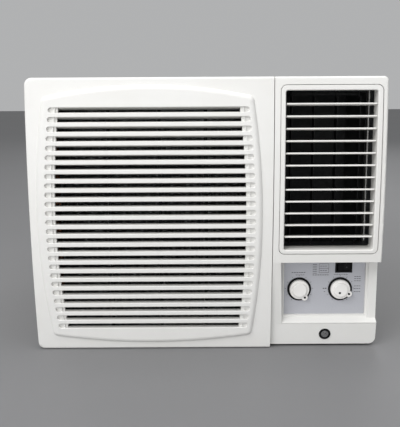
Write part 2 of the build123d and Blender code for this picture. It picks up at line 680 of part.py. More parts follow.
def control_block():
    """The stepped lower right of the front: strip, recess, shelf and band."""
    x0 = SEAM_X + SEAM_GAP
    band_front = face_y(BAND_TOP, -BAND_SETBACK)
    body = front_outline(x0, FRAME_BOTTOM, False)
    band = body & box(0, 400, FRONT_DEEP, 0, 0, BAND_TOP) & bulge(-BAND_SETBACK)
    slope = [
        (FRAME_BACK, BAND_TOP),
        (band_front, BAND_TOP),
        (face_y(STEP_Z), STEP_Z),
        (FRAME_BACK, STEP_Z),
    ]
    block = band + (body & prism_x(slope, x0, FRONT_HALF_W))
    beyond = FRONT_HALF_W + 5
    recess_plan = [
        (RECESS_X0, -HALF_DEPTH),
        (FASCIA_X0, FASCIA_Y),
        (FASCIA_X1, FASCIA_Y),
        (FASCIA_X1 + 4, STRIP_Y),
        (beyond, STRIP_Y),
        (beyond, -HALF_DEPTH),
    ]
    recess_side = [
        (FRONT_DEEP, BAND_TOP),
        (band_front, BAND_TOP),
        (FASCIA_Y, FASCIA_Z0),
        (FASCIA_Y, STEP_Z),
        (FRONT_DEEP, STEP_Z),
    ]
    recess = prism_z(recess_plan, 0, STEP_Z) & prism_x(recess_side, SEAM_X, beyond)
    groove_top = BAND_TOP - GROOVE_DROP
    groove = box(
        GROOVE_X0, beyond, FRONT_DEEP, band_front + GROOVE_DEPTH, groove_top - GROOVE_H, groove_top
    )
    return block - recess - groove


def frame_hollows():
    """The spaces inside the right side of the front."""
    x0, x1 = SEAM_X + SEAM_GAP + WALL, FRONT_HALF_W - WALL
    back = FRAME_BACK - WALL
    behind = FASCIA_Y + FASCIA_T
    top_corner = {(x1, FRONT_TOP - WALL): RIGHT_TOP_R - WALL}
    outlet = corner_block(x0, x1, FRONT_DEEP, back, STEP_Z + WALL, FRONT_TOP - WALL, top_corner)
    strip_side = [
        (-325, STEP_Z - WALL),
        (-305, BAND_TOP + 3),
        (behind + 1, BAND_TOP + 3),
        (behind + 1, STEP_Z - WALL),
    ]
    band = box(x0, x1 - 8, FRONT_DEEP, back, FRAME_BOTTOM + WALL, BAND_TOP - WALL)
    return [
        outlet & bulge(-SKIN),
        box(x0, x1, behind, back, FRAME_BOTTOM + RIGHT_LOW_R, STEP_Z),
        box(x0, x1 - RIGHT_LOW_R, behind, back, FRAME_BOTTOM + WALL, FRAME_BOTTOM + RIGHT_LOW_R),
        prism_x(strip_side, x0, RECESS_X0 - 2.3),
        band & bulge(-BAND_SETBACK - SKIN),
    ]


def filter_guides():
    """The channels that the filter drops into, and the stop under it."""
    plate_back = FRAME_FRONT + WALL
    lip_y = FILTER_Y1 + 3 * RAIL_GAP
    back = lip_y + WALL
    top = FRONT_TOP - WALL
    left, right = FILTER_X0 - RAIL_GAP - RAIL_W, FILTER_X1 + RAIL_GAP
    return [
        box(left, left + RAIL_W, plate_back, back, RAIL_Z0, top),
        box(left, left + 2 * RAIL_W, lip_y, back, RAIL_Z0, top),
        box(right, right + RAIL_W, plate_back, back, RAIL_Z0, top),
        box(right - RAIL_W, right + RAIL_W, lip_y, back, RAIL_Z0, top),
        box(left, right + RAIL_W, plate_back, back, RAIL_Z0, FILTER_Z0 - RAIL_GAP),
    ]


def front_frame():
    back = FRAME_BACK - WALL  # front of the flange that covers the sleeve's edge
    ring = front_outline(-FRONT_HALF_W, FRAME_BOTTOM, True, FRAME_FRONT)
    ring -= front_outline(-FRONT_HALF_W, FRAME_BOTTOM, True, FRAME_FRONT + WALL, back, WALL)
    frame = joined([ring, discharge_block(), control_block()])
    frame = frame.cut(*frame_hollows())
    rear_w = PAN_HALF_W + 2
    frame -= box(-rear_w, rear_w, back - 1, FRAME_BACK + 1, 8, SLEEVE_H - 4)

    # openings for the discharge bezel, the fascia and the room air
    sides = (BEZEL_X0 - BEZEL_GAP, BEZEL_X1 + BEZEL_GAP)
    ends = (BEZEL_Z0 - BEZEL_GAP, BEZEL_Z1 + BEZEL_GAP)
    corners = {(x, z): BEZEL_R + BEZEL_GAP for x in sides for z in ends}
    frame -= corner_block(*sides, FRONT_DEEP, BEZEL_BACK, *ends, corners)
    frame -= box(FASCIA_X0, FASCIA_X1, -300, -280, FASCIA_Z0, STEP_Z - WALL)
    frame -= box(AIR_X0, AIR_X1, FRAME_FRONT - 1, FRAME_FRONT + WALL + 1, AIR_Z0, AIR_Z1)

    frame = frame.fuse(*filter_guides())
    frame -= box(
        FILTER_X0 - RAIL_GAP,
        FILTER_X1 + RAIL_GAP,
        FILTER_Y0 - 0.9,
        FILTER_Y1 + 0.9,
        FILTER_Z1 - 4,
        FRONT_TOP + 1,
    )

    # hinge lugs with their moulded pins
    lug_r = HINGE_BARREL_R - 0.5
    for z in HINGE_LUG_Z:
        frame += rod_z(lug_r, z - 5, z + 5, HINGE_X, HINGE_Y)
        frame += box(HINGE_X - lug_r, HINGE_X + lug_r, HINGE_Y, FRAME_FRONT + 1, z - 5, z + 5)
        frame += rod_z(HINGE_PIN_R, z - 14, z + 14, HINGE_X, HINGE_Y)

    # hole for the cord gland
    return frame - rod_z(GLAND_R, 0, 20, GLAND_X, GLAND_Y)


def cord_gland():
    """A flanged grommet through the underside of the front."""
    inside = FRAME_BOTTOM + WALL
    flange = rod_z(GLAND_R + 2.5, FRAME_BOTTOM - 2.5, FRAME_BOTTOM, GLAND_X, GLAND_Y)
    barrel = rod_z(GLAND_R, FRAME_BOTTOM - 1, inside, GLAND_X, GLAND_Y)
    collar = rod_z(GLAND_R + 1.5, inside, inside + 5, GLAND_X, GLAND_Y)
    return joined([flange, barrel, collar]) - rod_z(3.8, -5, 30, GLAND_X, GLAND_Y)


def badge():
    """A plain disc on the band."""
    disc = rod_y(BADGE_R, FRONT_DEEP, -290, BADGE_X, BADGE_Z)
    return (disc & bulge(BADGE_T - BAND_SETBACK)) - bulge(-BAND_SETBACK)


# ---- Discharge louvres ----
def blade_pivot(index):
    z = BLADE_FIRST_Z + BLADE_PITCH * index
    return face_y(z) + BLADE_SETBACK, z


def vane_x(index):
    return VANE_MIDDLE_X + VANE_PITCH * (index - (VANE_COUNT - 1) / 2)


def outlet_tube(y0, y1):
    t = BEZEL_WALL
    return box(OPEN_X0 - t, OPEN_X1 + t, y0, y1, OPEN_Z0 - t, OPEN_Z1 + t)


def outlet_opening():
    corners = {(x, z): OPEN_R for x in (OPEN_X0, OPEN_X1) for z in (OPEN_Z0, OPEN_Z1)}
    return corner_block(OPEN_X0, OPEN_X1, FRONT_DEEP, 0, OPEN_Z0, OPEN_Z1, corners)


def louver_bezel():
    corners = {(x, z): BEZEL_R for x in (BEZEL_X0, BEZEL_X1) for z in (BEZEL_Z0, BEZEL_Z1)}
    face = corner_block(BEZEL_X0, BEZEL_X1, FRONT_DEEP, BEZEL_BACK, BEZEL_Z0, BEZEL_Z1, corners)
    face &= bulge()
    face = fillet(face.faces().sort_by(Axis.Y)[0].edges(), BEZEL_RIM_R) - bulge(-SKIN)
    bezel = face + (outlet_tube(FRONT_DEEP, BEZEL_BACK) & bulge(-0.5)) - outlet_opening()
    bezel = fillet(bezel.faces().sort_by(Axis.Y)[0].inner_wires()[0].edges(), OPEN_EDGE_R)
    for index in range(BLADE_COUNT):
        y, z = blade_pivot(index)
        bezel -= rod_x(PIN_R + PIN_CLEAR, OPEN_X0 - 5, OPEN_X1 + 5, y, z)
    return bezel


def vane_frame():
    """The dark inner length of the outlet, which carries the upright vanes."""
    frame = outlet_tube(BEZEL_BACK, VANE_FRAME_BACK) - outlet_opening()
    for index in range(VANE_COUNT):
        frame -= rod_z(PIN_R + PIN_CLEAR, OPEN_Z0 - 5, OPEN_Z1 + 5, vane_x(index), VANE_Y)
    return frame


def louver_blade(index):
    """A thin rounded slat on two pivot pins, with a notch and a crank pin for the link."""
    half_c, half_t = BLADE_CHORD / 2, BLADE_T / 2
    slat = box(BLADE_X0, BLADE_X1, -half_c, half_c, -half_t, half_t)
    slat = fillet(slat.edges().filter_by(Axis.X), BLADE_EDGE_R)
    slat -= box(BLADE_X0 - 1, LINK_X + 3.5, CRANK - 5.5, half_c + 1, -5, 5)
    slat += rod_x(PIN_R, OPEN_X0 - PIN_REACH, OPEN_X0 + 12, 0, 0)
    slat += rod_x(PIN_R, OPEN_X1 - 12, OPEN_X1 + PIN_REACH, 0, 0)
    slat += rod_x(CRANK_PIN_R, BLADE_X0 + 0.3, LINK_X + 6, CRANK, 0)
    y, z = blade_pivot(index)
    return Pos(0, y, z) * Rot(-BLADE_TILT, 0, 0) * slat


def crank_spot(index):
    y, z = blade_pivot(index)
    tilt = math.radians(-BLADE_TILT)
    return y + CRANK * math.cos(tilt), z + CRANK * math.sin(tilt)


def blade_link():
    """The upright strip that ties the blades' crank pins together."""
    spots = [crank_spot(index) for index in range(BLADE_COUNT)]
    x0, x1 = LINK_X - 1, LINK_X + 1
    front = [(y - 2, z) for y, z in spots]
    rear = [(y + 2, z) for y, z in reversed(spots)]
    link = prism_x(front + rear, x0, x1)
    for y, z in spots:
        link += rod_x(2.9, x0, x1, y, z)
    for y, z in spots:
        link -= rod_x(CRANK_HOLE_R, x0 - 1, x1 + 1, y, z)
    return link


def air_vane(index):
    x = vane_x(index)
    half_c, half_t = VANE_CHORD / 2, VANE_T / 2
    vane = box(x - half_t, x + half_t, VANE_Y - half_c, VANE_Y + half_c, VANE_Z0, VANE_Z1)
    vane += rod_z(PIN_R, OPEN_Z0 - PIN_REACH, VANE_Z0 + 6, x, VANE_Y)
    vane += rod_z(PIN_R, VANE_Z1 - 6, OPEN_Z1 + PIN_REACH, x, VANE_Y)
    return vane + rod_z(CRANK_PIN_R, VANE_Z1 - 6, VANE_Z1 + 7, x, VANE_Y + VANE_CRANK)


def vane_link():
    """The level strip that ties the vanes' crank pins together."""
    y = VANE_Y + VANE_CRANK
    z0, z1 = VANE_Z1 + 1.5, VANE_Z1 + 4.5
    link = box(vane_x(0) - 4, vane_x(VANE_COUNT - 1) + 4, y - 3, y + 3, z0, z1)
    link = fillet(link.edges().filter_by(Axis.Z), 2.9)
    for index in range(VANE_COUNT):
        link -= rod_z(CRANK_HOLE_R, z0 - 1, z1 + 1, vane_x(index), y)
    return link


def swing_motor():
    """Small geared motor over one vane's upper pivot."""
    x, z = vane_x(VANE_COUNT // 2), OPEN_Z1 + BEZEL_WALL
    can = rod_z(13.0, z, z + 12, x, VANE_Y)
    ears = box(x - 19, x + 19, VANE_Y - 3.5, VANE_Y + 3.5, z, z + 1.5)
    return joined([can, ears])


# ---- Fans on their shaft ----
def motor_shaft():
    return rod_y(SHAFT_R, SHAFT_Y0, SHAFT_Y1, FAN_X, FAN_Z)


def blower_wheel():
    """Forward-curved centrifugal wheel: back plate, hub, blades and front ring."""
    y0, y1 = WHEEL_Y0, WHEEL_Y1
    back = rod_y(WHEEL_R, y1, y1 + 2, 0, 0)
    ring = rod_y(WHEEL_R, y0 - 3, y0, 0, 0) - rod_y(WHEEL_R - 18, y0 - 4, y0 + 1, 0, 0)
    hub = rod_y(18.0, y1 - 16, y1 + 6, 0, 0)
    blade = Pos(WHEEL_R - 9, 0, 0) * Rot(0, 35, 0) * box(-9, 9, y0 - 0.5, y1 + 0.5, -0.6, 0.6)
    blades = [Rot(0, 360 / WHEEL_BLADES * i, 0) * blade for i in range(WHEEL_BLADES)]
    wheel = joined([back, hub, ring, *blades])
    wheel &= rod_y(WHEEL_R, y0 - 10, y1 + 10, 0, 0)
    wheel -= rod_y(SHAFT_R, -250, 0, 0, 0)
    return Pos(FAN_X, 0, FAN_Z) * wheel


def condenser_fan():
    """Five-bladed propeller with the slinger ring that lifts water from the pan."""
    y0, y1 = PROPELLER_Y0, PROPELLER_Y1
    middle = (y0 + y1) / 2
    hub = rod_y(34.0, y0 + 4, y1 - 4, 0, 0)
    ring = rod_y(PROPELLER_R, middle + 6, y1 - 2, 0, 0)
    ring -= rod_y(PROPELLER_R - 2.5, y0, y1, 0, 0)
    reach = rod_y(PROPELLER_R - 1, y0, y1, 0, 0)
    fan = hub + ring
    for i in range(PROPELLER_BLADES):
        blade = box(26, PROPELLER_R, -55, 55, -1.3, 1.3)
        blade = Pos(0, middle, 0) * Rot(58, 0, 0) * blade
        fan += Rot(0, 360 / PROPELLER_BLADES * i, 0) * (blade & reach)
    fan -= rod_y(SHAFT_R, 0, 300, 0, 0)
    return Pos(FAN_X, 0, FAN_Z) * fan


# ---- Intake grille ----
def pillow_outline(inset=0.0):
    """Four long arcs with rounded corners round the louvred field."""
    x, middle = GRILLE_X, (FIELD_LOW + FIELD_HIGH) / 2
    left_low, right_low = (x - FIELD_LOW_HALF, FIELD_LOW), (x + FIELD_LOW_HALF, FIELD_LOW)
    left_high, right_high = (x - FIELD_TOP_HALF, FIELD_HIGH), (x + FIELD_TOP_HALF, FIELD_HIGH)
    with BuildSketch() as sketch:
        with BuildLine():
            ThreePointArc(left_low, (x, FIELD_LOW_MIDDLE), right_low)
            ThreePointArc(right_low, (x + FIELD_MIDDLE_HALF, middle), right_high)
            ThreePointArc(right_high, (x, FIELD_HIGH_MIDDLE), left_high)
            ThreePointArc(left_high, (x - FIELD_MIDDLE_HALF, middle), left_low)
        make_face()
        fillet(sketch.vertices(), FIELD_CORNER_R)
        if inset:
            offset(amount=-inset)
    return sketch.sketch


def slot_rows():
    """Height and shortening of each slot, from 0 in the middle to 1 at the ends."""
    half_span = SLOT_PITCH * (SLOT_COUNT - 1) / 2
    for row in range(SLOT_COUNT):
        z = SLOT_FIRST_Z + SLOT_PITCH * row
        t = (z - SLOT_FIRST_Z - half_span) / half_span
        yield z, t * t


def bar_slope(z):
    """How steeply the underside of the bar over the slot at height z falls, as a ratio."""
    return math.tan(math.radians(BAR_SLOPE) + math.asin((z - BULGE_Z) / BULGE_R))


def ceiling_z(z, y):
    """Height, at depth y, of the falling ceiling of the slot at height z."""
    high = z + SLOT_H / 2
    return high - bar_slope(z) * (y - face_y(high, PILLOW) - SLOT_MOUTH)


def slot_cutter(z, half):
    """One slot: a level floor, and a ceiling that is level at its mouth and then falls."""
    low, high = z - SLOT_H / 2, z + SLOT_H / 2
    front, back = face_y(z, PILLOW) - 5, face_y(z, PILLOW) + BAR_REACH
    turn = face_y(high, PILLOW) + SLOT_MOUTH
    outline = [(front, low), (front, high), (turn, high), (back, ceiling_z(z, back)), (back, low)]
    return prism_x(outline, SLOT_X - half, SLOT_X + half)


def end_pockets(z, half, reach):
    """The blind ends of one slot, from its open length out to its rounded ends."""
    outline = Pos(SLOT_X, z) * (SlotOverall(2 * reach, SLOT_H) - Rectangle(2 * half, 2 * SLOT_H))
    return prism_y(outline, FRONT_DEEP, -300) - bulge(PILLOW - POCKET_DEPTH)


def bar_flange(z, half):
    """The thin lower edge that each bar carries on behind the field."""
    start, back = face_y(z, PILLOW) + BAR_DEPTH - 1, face_y(z, PILLOW) + BAR_REACH
    under = [(y, ceiling_z(z, y)) for y in (start, back)]
    over = [(y, height + BAR_T) for y, height in reversed(under)]
    return prism_x(under + over, SLOT_X - half - 3, SLOT_X + half + 3)


def louvred_field():
    """The raised field: a soft shoulder, open slots with rounded edges, and blind end pockets."""
    field = prism_y(pillow_outline(), FRONT_DEEP, -300) & bulge(PILLOW)
    crest = field.faces().sort_by(Axis.Y)[0]
    field = fillet(crest.edges(), SHOULDER_R) - bulge(PILLOW - BAR_DEPTH)
    cutters = []
    for z, t in slot_rows():
        half = SLOT_HALF - SLOT_TAPER * t
        cutters.append(slot_cutter(z, half))
        cutters.extend(end_pockets(z, half, POCKET_HALF - POCKET_TAPER * t).solids())
    field = field.cut(*cutters)
    crest = field.faces().sort_by(SortBy.AREA)[-2:].sort_by(Axis.Y)[0]
    lips = [edge for wire in crest.inner_wires() for edge in wire.edges()]
    return fillet(lips, SLOT_LIP_R)


def pocket_ribs():
    """Short upright ribs across the pockets."""
    ribs = []
    half_h = SLOT_H / 2 + 0.5
    for z, t in slot_rows():
        for side in (-1, 1):
            x = SLOT_X + side * (POCKET_HALF - POCKET_RIB_INSET - POCKET_TAPER * t)
            ribs.append(box(x - 0.9, x + 0.9, FRONT_DEEP, PANEL_BACK, z - half_h, z + half_h))
    return ((Part() + ribs) & bulge(PILLOW - 1.5)) - bulge(PILLOW - POCKET_DEPTH - 1)


def intake_grille():
    x0, x1 = -FRONT_HALF_W, SEAM_X - SEAM_GAP
    z0, z1 = PANEL_BOTTOM, FRONT_TOP
    corners = {(x0, z1): LEFT_TOP_R, (x0, z0): LEFT_LOW_R}
    panel = corner_block(x0, x1, FRONT_DEEP, PANEL_BACK, z0, z1, corners) & bulge()
    front = panel.faces().sort_by(Axis.Y)[0]
    panel = fillet([e for e in front.edges() if e.center().X < x1 - 3], EDGE_R)
    in_x0, in_z0, in_z1 = x0 + WALL, z0 + WALL, z1 - WALL
    corners = {(in_x0, in_z1): LEFT_TOP_R - WALL, (in_x0, in_z0): LEFT_LOW_R - WALL}
    hollow = corner_block(in_x0, x1 - WALL, FRONT_DEEP, PANEL_BACK + 1, in_z0, in_z1, corners)
    panel -= hollow & bulge(-SKIN)

    panel -= prism_y(pillow_outline(1.5), FRONT_DEEP, PANEL_BACK + 1)
    panel += louvred_field()
    flanges = [bar_flange(z, SLOT_HALF - SLOT_TAPER * t) for z, t in slot_rows()]
    panel = panel.fuse(*flanges, *pocket_ribs().solids())

    # hinge barrel down the left edge, notched for the lugs
    low, high = z0 + LEFT_LOW_R, z1 - LEFT_LOW_R
    panel += rod_z(HINGE_BARREL_R, low, high, HINGE_X, HINGE_Y)
    panel += box(x0, HINGE_X + 5, HINGE_Y - 8, HINGE_Y, low, high)
    corner = box(x0 - 1, HINGE_X, HINGE_Y, PANEL_BACK + 1, z0 - 1, z1 + 1)
    panel -= corner - rod_z(HINGE_BARREL_R, z0 - 2, z1 + 2, HINGE_X, HINGE_Y)
    for z in HINGE_LUG_Z:
        panel -= rod_z(12.0, z - 6, z + 6, HINGE_X, HINGE_Y)
        panel -= rod_z(HINGE_PIN_R + PIN_CLEAR, z - 15, z + 15, HINGE_X, HINGE_Y)
    return panel


# ---- Air filter ----
def filter_window(y0, y1):
    """The clear area inside the filter's frame, as a block along Y."""
    m = FILTER_MEMBER
    return box(FILTER_X0 + m, FILTER_X1 - m, y0, y1, FILTER_Z0 + m, FILTER_Z1 - m)


def filter_frame():
    frame = box(FILTER_X0, FILTER_X1, FILTER_Y0, FILTER_Y1, FILTER_Z0, FILTER_Z1)
    frame -= filter_window(FILTER_Y0 - 1, FILTER_Y1 + 1)
    rib_back = FILTER_Y0 + FILTER_RIB_T
    for z in FILTER_RIB_Z:
        frame += box(FILTER_X0, FILTER_X1, FILTER_Y0, rib_back, z - 3, z + 3)
    for x in FILTER_RIB_X:
        frame += box(x - 3, x + 3, FILTER_Y0, rib_back, FILTER_Z0, FILTER_Z1)
    tab = box(GRILLE_X - 22, GRILLE_X + 22, FILTER_Y0 + 1, FILTER_Y1 - 1, FILTER_Z1 - 1, FRONT_TOP)
    return frame + tab


def filter_mesh():
    return filter_window(FILTER_Y0 + FILTER_RIB_T, FILTER_Y0 + FILTER_RIB_T + 1.0)


# ---- All the pieces ----
PIECES = {
    "cabinet_sleeve": cabinet_sleeve,
    "rear_guard": rear_guard,
    "rear_guard_screws": rear_guard_screws,
    "base_pan": base_pan,
    "compressor": compressor,
    "compressor_grommets": compressor_grommets,
    "condenser_fins": lambda: coil_fins(CONDENSER_X0, CONDENSER_X1, CONDENSER_Y0, CONDENSER_Y1),
    "condenser_tubes": lambda: return_bends(CONDENSER_X0, CONDENSER_X1, CONDENSER_ROWS),
    "evaporator_fins": lambda: coil_fins(EVAPORATOR_X0, EVAPORATOR_X1, EVAPORATOR_Y0, EVAPORATOR_Y1),
    "evaporator_tubes": lambda: return_bends(EVAPORATOR_X0, EVAPORATOR_X1, EVAPORATOR_ROWS),
    "coil_end_plates": coil_end_plates,
    "partition": partition,
    "fan_motor": fan_motor,
    "motor_bracket": motor_bracket,
    "scroll_housing": scroll_housing,
    "air_duct": air_duct,
    "fan_shroud": fan_shroud,
    "suction_pipe": suction_pipe,
    "discharge_pipe": discharge_pipe,
    "capillary_tube": capillary_tube,
    "control_box": control_box,
    "capacitor": capacitor,
    "thermostat_body": thermostat_body,
    "selector_switch": selector_switch,
    "control_fascia": control_fascia,
    "dial_rings": dial_rings,
    "rocker_frame": rocker_frame,
    "front_frame": front_frame,
    "cord_gland": cord_gland,
    "badge": badge,
    "louver_bezel": louver_bezel,
    "vane_frame": vane_frame,
    "swing_motor": swing_motor,
    "blade_link": blade_link,
    "vane_link": vane_link,
    "thermostat_knob": lambda: knob(THERMOSTAT_X, THERMOSTAT_POINTER),
    "selector_knob": lambda: knob(SELECTOR_X, SELECTOR_POINTER),
    "rocker_paddle": rocker_paddle,
    "motor_shaft": motor_shaft,
    "blower_wheel": blower_wheel,
    "condenser_fan": condenser_fan,
    "intake_grille": intake_grille,
    "filter_frame": filter_frame,
    "filter_mesh": filter_mesh,
}

for name, make in PIECES.items():
    save(name, make())
for index in range(BLADE_COUNT):
    save(f"louver_blade_{index + 1:02d}", louver_blade(index))
for index in range(VANE_COUNT):
    save(f"air_vane_{index + 1}", air_vane(index))
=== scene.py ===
"""Looks of the window air conditioner: materials, fine pieces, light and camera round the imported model."""

import json
import math

import bmesh
import bpy
from mathutils import Matrix, Vector


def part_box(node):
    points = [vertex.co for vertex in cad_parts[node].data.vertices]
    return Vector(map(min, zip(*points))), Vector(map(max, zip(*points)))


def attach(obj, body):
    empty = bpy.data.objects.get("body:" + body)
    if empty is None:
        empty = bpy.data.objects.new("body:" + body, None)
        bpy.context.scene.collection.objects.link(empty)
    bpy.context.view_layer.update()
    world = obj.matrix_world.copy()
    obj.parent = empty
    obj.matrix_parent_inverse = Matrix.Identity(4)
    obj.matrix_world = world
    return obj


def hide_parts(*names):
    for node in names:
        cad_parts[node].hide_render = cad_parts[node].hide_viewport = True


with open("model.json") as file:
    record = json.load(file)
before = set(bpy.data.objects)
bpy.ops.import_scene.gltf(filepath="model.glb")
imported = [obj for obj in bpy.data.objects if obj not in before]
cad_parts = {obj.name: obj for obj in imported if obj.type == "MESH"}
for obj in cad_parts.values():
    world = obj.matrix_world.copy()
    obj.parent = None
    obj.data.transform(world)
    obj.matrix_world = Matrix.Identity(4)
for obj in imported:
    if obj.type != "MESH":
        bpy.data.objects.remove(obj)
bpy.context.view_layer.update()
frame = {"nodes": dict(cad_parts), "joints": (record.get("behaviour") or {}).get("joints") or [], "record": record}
nodes = frame["nodes"]
MM = 0.001


# ---- Shared sizes, read from the frame ----
PANEL_LO, PANEL_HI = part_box("intake_grille")
FASCIA_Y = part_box("control_fascia")[0].y  # the plate's face
BADGE_LO, BADGE_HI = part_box("badge")


# ---- Camera ----
EYE_HEIGHT = PANEL_HI.z
FIELD_RAISE = 0.005  # the louvred field stands out from the front by this much
EYE_DISTANCE = 1.184  # from the crest of the front, under the louvred field
EYE_X = -0.0118
PITCH = math.radians(10.98)
ROLL = math.radians(0.3)
LENS = 59.35


def make_camera():
    data = bpy.data.cameras.new("camera")
    data.lens = LENS
    data.sensor_width = 36.0
    camera = bpy.data.objects.new("camera", data)
    bpy.context.scene.collection.objects.link(camera)
    camera.location = (EYE_X, PANEL_LO.y + FIELD_RAISE - EYE_DISTANCE, EYE_HEIGHT)
    camera.rotation_euler = (math.pi / 2 - PITCH, 0, 0)
    camera.rotation_euler.rotate_axis("Z", -ROLL)
    bpy.context.scene.camera = camera


make_camera()


# ---- Material helpers ----
class Shader:
    """A principled material with its texture coordinates, built up call by call."""

    def __init__(self, name, color, roughness, metallic=0.0):
        self.material = bpy.data.materials.new(name)
        self.material.use_nodes = True
        self.tree = self.material.node_tree
        self.bsdf = self.tree.nodes["Principled BSDF"]
        self.bsdf.inputs["Base Color"].default_value = (*color, 1)
        self.bsdf.inputs["Roughness"].default_value = roughness
        self.bsdf.inputs["Metallic"].default_value = metallic
        self.color = color
        self.roughness = roughness
        self.coords = self.tree.nodes.new("ShaderNodeTexCoord").outputs["Object"]
        self.last_normal = None

    def node(self, kind, **settings):
        made = self.tree.nodes.new(kind)
        for key, value in settings.items():
            setattr(made, key, value)
        return made

    def link(self, output, target):
        self.tree.links.new(output, target)

    def stretched(self, scale):
        mapping = self.node("ShaderNodeMapping")
        mapping.inputs["Scale"].default_value = scale
        self.link(self.coords, mapping.inputs["Vector"])
        return mapping.outputs["Vector"]

    def noise(self, scale, detail=3.0, rough=0.5, coords=None):
        noise = self.node("ShaderNodeTexNoise")
        noise.inputs["Scale"].default_value = scale
        noise.inputs["Detail"].default_value = detail
        noise.inputs["Roughness"].default_value = rough
        self.link(coords or self.coords, noise.inputs["Vector"])
        return noise.outputs["Fac"]

    def cells(self, scale, feature="F1", output="Distance", coords=None):
        cells = self.node("ShaderNodeTexVoronoi", feature=feature)
        cells.inputs["Scale"].default_value = scale
        self.link(coords or self.coords, cells.inputs["Vector"])
        return cells.outputs[output]

    def spread(self, value, low, high, from_low=0.3, from_high=0.7):
        remap = self.node("ShaderNodeMapRange")
        remap.inputs["From Min"].default_value = from_low
        remap.inputs["From Max"].default_value = from_high
        remap.inputs["To Min"].default_value = low
        remap.inputs["To Max"].default_value = high
        self.link(value, remap.inputs["Value"])
        return remap.outputs["Result"]

    def vary_color(self, value, dark, light=1.0, tint=(1, 1, 1)):
        """Base colour runs between the material's colour times dark (and tint) and times light."""
        mix = self.node("ShaderNodeMix", data_type="RGBA")
        low = [c * dark * t for c, t in zip(self.color, tint)]
        high = [min(1.0, c * light) for c in self.color]
        mix.inputs["A"].default_value = (*low, 1)
        mix.inputs["B"].default_value = (*high, 1)
        self.link(value, mix.inputs["Factor"])
        self.link(mix.outputs["Result"], self.bsdf.inputs["Base Color"])
        return self

    def vary_roughness(self, value, by):
        self.link(
            self.spread(value, max(0.02, self.roughness - by), min(1.0, self.roughness + by)),
            self.bsdf.inputs["Roughness"],
        )
        return self

    def bump(self, value, distance, strength=1.0):
        bump = self.node("ShaderNodeBump")
        bump.inputs["Distance"].default_value = distance
        bump.inputs["Strength"].default_value = strength
        self.link(value, bump.inputs["Height"])
        if self.last_normal:
            self.link(self.last_normal, bump.inputs["Normal"])
        self.last_normal = bump.outputs["Normal"]
        self.link(self.last_normal, self.bsdf.inputs["Normal"])
        return self


def moulded(name, color, roughness=0.42, grain=0.00004, pitch=1400.0, dark=0.97, shine=0.5):
    """Injection-moulded plastic: fine spark-eroded grain, faint flow marks."""
    shader = Shader(name, color, roughness)
    shader.bsdf.inputs["IOR"].default_value = 1.5
    shader.bsdf.inputs["Specular IOR Level"].default_value = shine
    flow = shader.noise(9.0, 4.0, 0.6)
    shader.vary_color(shader.spread(flow, 0, 1), dark, 1.0, (1.0, 0.997, 0.985))
    shader.vary_roughness(shader.noise(140.0, 3.0), 0.05)
    shader.bump(shader.noise(pitch, 2.0, 0.6), grain, 0.6)
    return shader.material


def enamel(name, color, roughness=0.34):
    """Baked paint on sheet steel, with orange peel and faint dust."""
    shader = Shader(name, color, roughness)
    shader.bsdf.inputs["Coat Weight"].default_value = 0.25
    shader.bsdf.inputs["Coat Roughness"].default_value = 0.25
    dust = shader.noise(5.0, 6.0, 0.65)
    shader.vary_color(shader.spread(dust, 0, 1), 0.94, 1.0, (1.0, 0.99, 0.96))
    shader.vary_roughness(shader.noise(40.0, 4.0), 0.08)
    shader.bump(shader.noise(380.0, 2.0, 0.5), 0.00012, 0.5)
    return shader.material


def spangled(name):
    """Zinc-coated sheet with its crystal pattern."""
    shader = Shader(name, (0.56, 0.57, 0.58), 0.36, 1.0)
    crystal = shader.cells(85.0, output="Color")
    grey = shader.node("ShaderNodeRGBToBW")
    shader.link(crystal, grey.inputs["Color"])
    shader.vary_color(shader.spread(grey.outputs["Val"], 0, 1, 0.1, 0.9), 0.72, 1.15)
    shader.vary_roughness(shader.spread(grey.outputs["Val"], 0.3, 0.7, 0.1, 0.9), 0.1)
    shader.bump(shader.noise(500.0, 2.0), 0.00003, 0.5)
    return shader.material


def drawn_metal(name, color, roughness, streak=(1, 1, 1), dark=0.8):
    """Bare metal with drawing or turning marks and a little tarnish."""
    shader = Shader(name, color, roughness, 1.0)
    lines = shader.noise(220.0, 4.0, 0.6, shader.stretched(streak))
    tarnish = shader.noise(26.0, 5.0, 0.6)
    shader.vary_color(shader.spread(tarnish, 0, 1, 0.35, 0.65), dark, 1.05)
    shader.vary_roughness(lines, 0.12)
    shader.bump(lines, 0.00003, 0.5)
    return shader.material


def silver_print(name):
    """The control plate's satin silver-grey film with its fine sparkle."""
    shader = Shader(name, (0.53, 0.538, 0.577), 0.42, 0.25)
    shader.bsdf.inputs["Coat Weight"].default_value = 0.15
    shader.bsdf.inputs["Coat Roughness"].default_value = 0.3
    flake = shader.cells(3200.0, output="Color")
    grey = shader.node("ShaderNodeRGBToBW")
    shader.link(flake, grey.inputs["Color"])
    shader.vary_color(shader.spread(grey.outputs["Val"], 0, 1, 0.1, 0.9), 0.94, 1.05)
    shader.vary_roughness(shader.noise(60.0, 3.0), 0.05)
    shader.bump(shader.noise(1500.0, 2.0), 0.00002, 0.4)
    return shader.material


def black_enamel(name):
    shader = Shader(name, (0.012, 0.012, 0.013), 0.3)
    shader.vary_color(shader.spread(shader.noise(30.0, 5.0), 0, 1), 0.7, 1.8)
    shader.vary_roughness(shader.noise(18.0, 5.0, 0.6), 0.12)
    shader.bump(shader.noise(260.0, 3.0), 0.00015, 0.6)
    return shader.material


def soft_rubber(name):
    shader = Shader(name, (0.022, 0.021, 0.02), 0.75)
    shader.vary_color(shader.spread(shader.noise(70.0, 4.0), 0, 1), 0.7, 1.6)
    shader.vary_roughness(shader.noise(200.0, 3.0), 0.1)
    shader.bump(shader.noise(900.0, 3.0), 0.00008, 0.7)
    return shader.material


